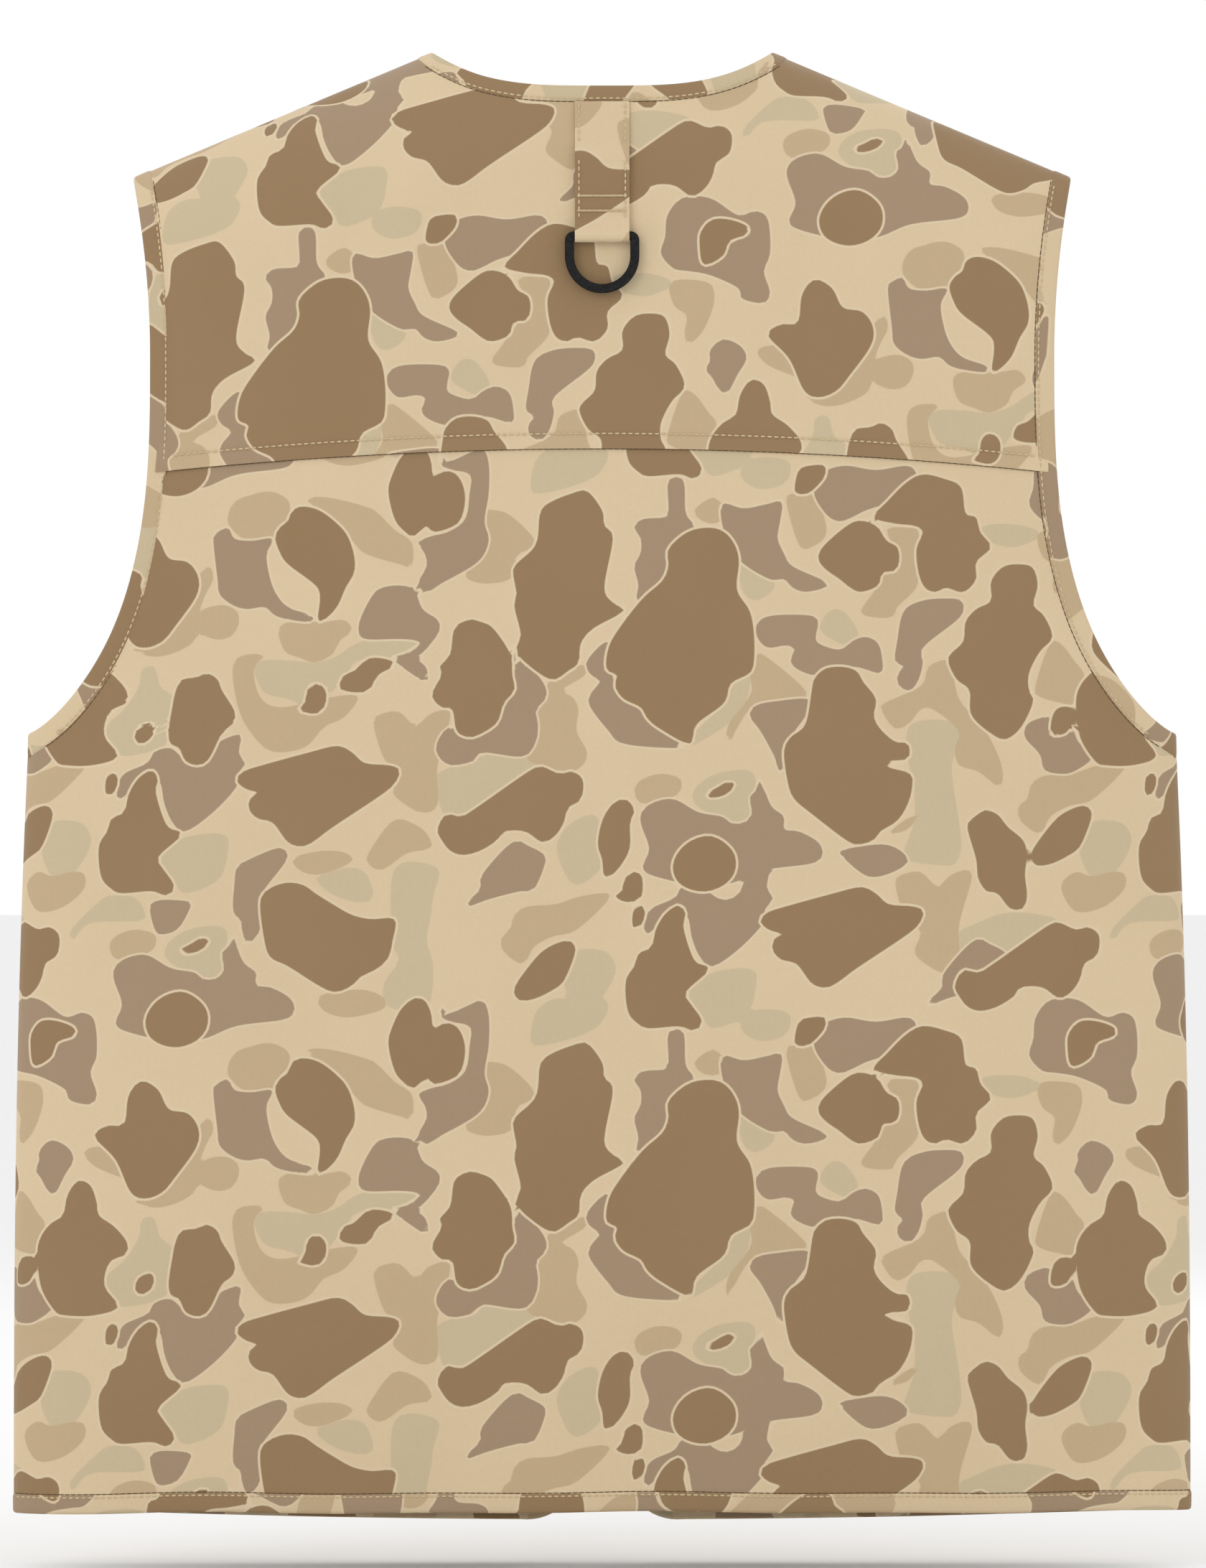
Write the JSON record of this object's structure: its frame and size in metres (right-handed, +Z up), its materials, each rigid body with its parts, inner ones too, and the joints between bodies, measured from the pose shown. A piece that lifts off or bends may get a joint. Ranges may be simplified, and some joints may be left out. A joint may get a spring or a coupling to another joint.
{
  "type": "fishing vest",
  "caption": "Sleeveless fishing vest in blotch-printed poplin with a back yoke, bound edges, ring tab with D-ring, flapped bellows pockets and a front zip, shown undone.",
  "frame": {"origin": "midway between the two neck points of the shoulder ridge, where a hanger carries the vest", "axes": "+X to the wearer's right, +Y to the wearer's front, +Z up; the back faces -Y"},
  "size_m": [0.5542, 0.1021, 0.6919],
  "materials": {
    "printed_poplin": "matt cotton poplin with a faint sheen, printed in a five-colour blotch pattern",
    "printed_binding": "folded strip of the same printed poplin, edge-stitched",
    "printed_tab": "folded tab of the same printed poplin, edge-stitched and bar-tacked",
    "tape": "woven tape",
    "nylon_coil": "satin moulded coil",
    "black_plastic": "satin black with a finely grained face",
    "dark_brass": "antiqued, satin"
  },
  "bodies": {
    "vest_body": {"back_panel": "printed_poplin", "back_yoke": "printed_poplin", "neck_binding": "printed_binding", "back_hem_binding": "printed_binding", "hang_loop": "tape", "ring_tab": "printed_tab", "armhole_binding_right": "printed_binding", "front_side_panel_right": "printed_poplin", "side_hem_binding_right": "printed_binding", "chest_pocket_bag_right": "printed_poplin", "chest_pocket_snap_stud_right": "dark_brass", "lower_pocket_bag_right": "printed_poplin", "lower_pocket_snap_stud_right": "dark_brass", "armhole_binding_left": "printed_binding", "front_side_panel_left": "printed_poplin", "side_hem_binding_left": "printed_binding", "chest_pocket_bag_left": "printed_poplin", "chest_pocket_snap_stud_left": "dark_brass", "lower_pocket_bag_left": "printed_poplin", "lower_pocket_snap_stud_left": "dark_brass"},
    "back_d_ring": {"back_d_ring": "black_plastic"},
    "front_edge_right": {"front_edge_panel_right": "printed_poplin", "edge_neck_binding_right": "printed_binding", "edge_hem_binding_right": "printed_binding", "zip_tape_right": "tape", "zip_coil_right": "nylon_coil", "zip_top_stop_right": "dark_brass", "zip_retainer_box": "dark_brass"},
    "front_edge_left": {"front_edge_panel_left": "printed_poplin", "edge_neck_binding_left": "printed_binding", "edge_hem_binding_left": "printed_binding", "zip_tape_left": "tape", "zip_coil_left": "nylon_coil", "zip_top_stop_left": "dark_brass", "zip_insertion_pin": "dark_brass"},
    "zip_slider": {"zip_slider": "dark_brass"},
    "zip_pull": {"zip_pull": "dark_brass"},
    "chest_flap_right": {"chest_pocket_flap_right": "printed_poplin", "chest_pocket_snap_cap_right": "dark_brass"},
    "chest_flap_left": {"chest_pocket_flap_left": "printed_poplin", "chest_pocket_snap_cap_left": "dark_brass"},
    "lower_flap_right": {"lower_pocket_flap_right": "printed_poplin", "lower_pocket_snap_cap_right": "dark_brass"},
    "lower_flap_left": {"lower_pocket_flap_left": "printed_poplin", "lower_pocket_snap_cap_left": "dark_brass"}
  },
  "joints": [
    {"name": "back_d_ring_swing", "type": "hinge", "parent": "vest_body", "child": "back_d_ring", "pos_m": [0, -0.04165, -0.0878], "axis": [-1, 0, 0], "range_deg": [0, 165]},
    {"name": "front_right_fold", "type": "hinge", "parent": "vest_body", "child": "front_edge_right", "pos_m": [0.095, 0.03604, -0.69077], "axis": [0.0634, -0.0024, -0.998], "range_deg": [0, 110]},
    {"name": "front_left_fold", "type": "hinge", "parent": "vest_body", "child": "front_edge_left", "pos_m": [-0.095, 0.03604, -0.69077], "axis": [0.0634, 0.0024, 0.998], "range_deg": [0, 110]},
    {"name": "zip_slider_slide", "type": "slide", "parent": "front_edge_right", "child": "zip_slider", "axis": [0, 0, 1], "range_m": [0, 0.489]},
    {"name": "zip_pull_swing", "type": "hinge", "parent": "zip_slider", "child": "zip_pull", "pos_m": [0.0029, 0.04089, -0.64975], "axis": [1, 0, 0], "range_deg": [0, 165]},
    {"name": "chest_flap_right_lift", "type": "hinge", "parent": "vest_body", "child": "chest_flap_right", "pos_m": [0.13111, 0.03466, -0.1696], "axis": [0.9969, -0.0781, 0], "range_deg": [0, 115]},
    {"name": "chest_flap_left_lift", "type": "hinge", "parent": "vest_body", "child": "chest_flap_left", "pos_m": [-0.13111, 0.03466, -0.1696], "axis": [0.9969, 0.0781, 0], "range_deg": [0, 115]},
    {"name": "lower_flap_right_lift", "type": "hinge", "parent": "vest_body", "child": "lower_flap_right", "pos_m": [0.17016, 0.03131, -0.4756], "axis": [0.9941, -0.1081, 0], "range_deg": [0, 105]},
    {"name": "lower_flap_left_lift", "type": "hinge", "parent": "vest_body", "child": "lower_flap_left", "pos_m": [-0.17016, 0.03131, -0.4756], "axis": [0.9941, 0.1081, 0], "range_deg": [0, 105]}
  ]
}
